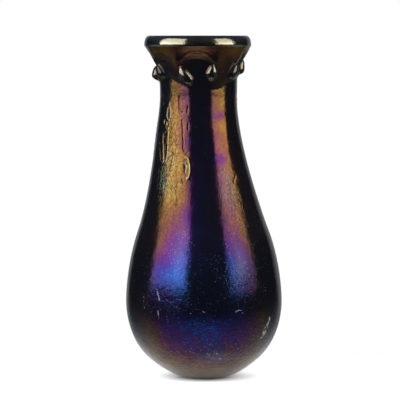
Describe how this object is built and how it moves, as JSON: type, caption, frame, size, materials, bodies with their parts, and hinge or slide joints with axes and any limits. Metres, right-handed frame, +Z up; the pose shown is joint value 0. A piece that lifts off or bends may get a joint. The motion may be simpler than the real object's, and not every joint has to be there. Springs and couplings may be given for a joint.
{
  "type": "glass vase",
  "caption": "Pear-shaped hand-blown vase of dark iridescent glass, with a narrow leaning neck, a flared thick-lipped mouth and a collar of pulled glass drops.",
  "frame": {"origin": "on the ground flat that the vase stands on, straight below the middle of the belly", "axes": "+Z up through the mouth, -Y towards the viewer of the picture, +X to the viewer's right; the neck leans towards -X"},
  "size_m": [0.1096, 0.1098, 0.24],
  "materials": {
    "iridescent_glass": "near-black opaque cobalt glass, glossy, under a thin iridescent metallic film that turns from deep blue and purple to copper, gold and olive"
  },
  "bodies": {
    "root": {"glass_vase": "iridescent_glass"}
  },
  "joints": []
}
